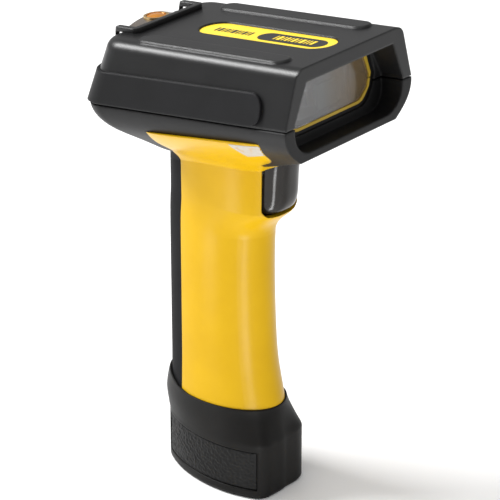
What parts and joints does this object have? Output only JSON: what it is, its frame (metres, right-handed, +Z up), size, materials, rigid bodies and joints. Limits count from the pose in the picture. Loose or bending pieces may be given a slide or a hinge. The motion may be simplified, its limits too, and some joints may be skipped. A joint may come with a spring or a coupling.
{
  "type": "handheld barcode scanner",
  "caption": "Pistol-grip barcode scanner: black head with a hooded window, yellow handle, glossy trigger, rubber boot and an internal scan engine.",
  "frame": {"origin": "middle of the flat base that the scanner stands on", "axes": "+Z up the handle, scanning nose towards -Y, width along X"},
  "size_m": [0.0758, 0.1013, 0.193],
  "materials": {
    "cover_plastic": "fine textured charcoal",
    "shell_plastic": "fine textured charcoal",
    "bumper_rubber": "soft matte black",
    "handle_yellow": "satin yellow",
    "boot_rubber": "matte black",
    "panel_rubber": "stippled black",
    "trigger_plastic": "polished black",
    "gasket_yellow": "yellow",
    "window_glass": "coated",
    "label_yellow": "printed label",
    "indicator_smoke": "smoked",
    "indicator_amber": "amber",
    "ring_brass": "polished",
    "steel": "plated",
    "gold": "plated",
    "battery_wrap": "shrink wrap",
    "board_green": "solder mask",
    "engine_metal": "cast",
    "mirror": "first surface",
    "black_part": "moulded",
    "seal_rubber": "soft"
  },
  "bodies": {
    "housing": {"upper_cover": "cover_plastic", "lower_shell": "shell_plastic", "head_seal": "seal_rubber", "side_bumper": "bumper_rubber", "window_bezel": "black_part", "window_gasket_upper": "gasket_yellow", "window_gasket_lower": "gasket_yellow", "scan_window": "window_glass", "name_label": "label_yellow", "indicator_rim": "cover_plastic", "indicator_plate": "indicator_smoke", "indicator_lens": "indicator_amber", "lens_ring": "ring_brass", "indicator_screws": "steel", "indicator_led": "board_green", "handle_shell": "handle_yellow", "handle_back": "shell_plastic", "base_boot": "boot_rubber", "boot_grip_panels": "panel_rubber", "base_pad": "bumper_rubber", "cap_screw": "steel", "charging_contacts": "gold", "battery_pack": "battery_wrap", "battery_contacts": "board_green", "battery_lead": "black_part", "trigger_pin": "steel", "trigger_spring": "steel", "trigger_switch": "black_part", "switch_board": "board_green", "engine_chassis": "engine_metal", "mirror_pin": "steel", "collecting_mirror": "mirror", "mirror_coil": "gold", "laser_module": "ring_brass", "photodiode": "board_green", "main_board": "board_green", "chassis_spacers": "steel", "beeper": "black_part", "radio_posts": "steel", "radio_board": "board_green", "head_screws": "steel", "handle_screw": "steel"},
    "trigger_lever": {"trigger": "trigger_plastic"},
    "mirror": {"scan_mirror": "mirror"}
  },
  "joints": [
    {"name": "trigger_pull", "type": "hinge", "parent": "housing", "child": "trigger_lever", "pos_m": [0, -0.021, 0.1386], "axis": [1, 0, 0], "range_deg": [0, 6], "stiffness_Nm_per_rad": 1.2, "springref_deg": -8.59},
    {"name": "mirror_sweep", "type": "hinge", "parent": "housing", "child": "mirror", "pos_m": [0.004, -0.02561, 0.1648], "axis": [0, 0.1357, 0.9907], "range_deg": [-12, 12], "stiffness_Nm_per_rad": 0.002}
  ]
}
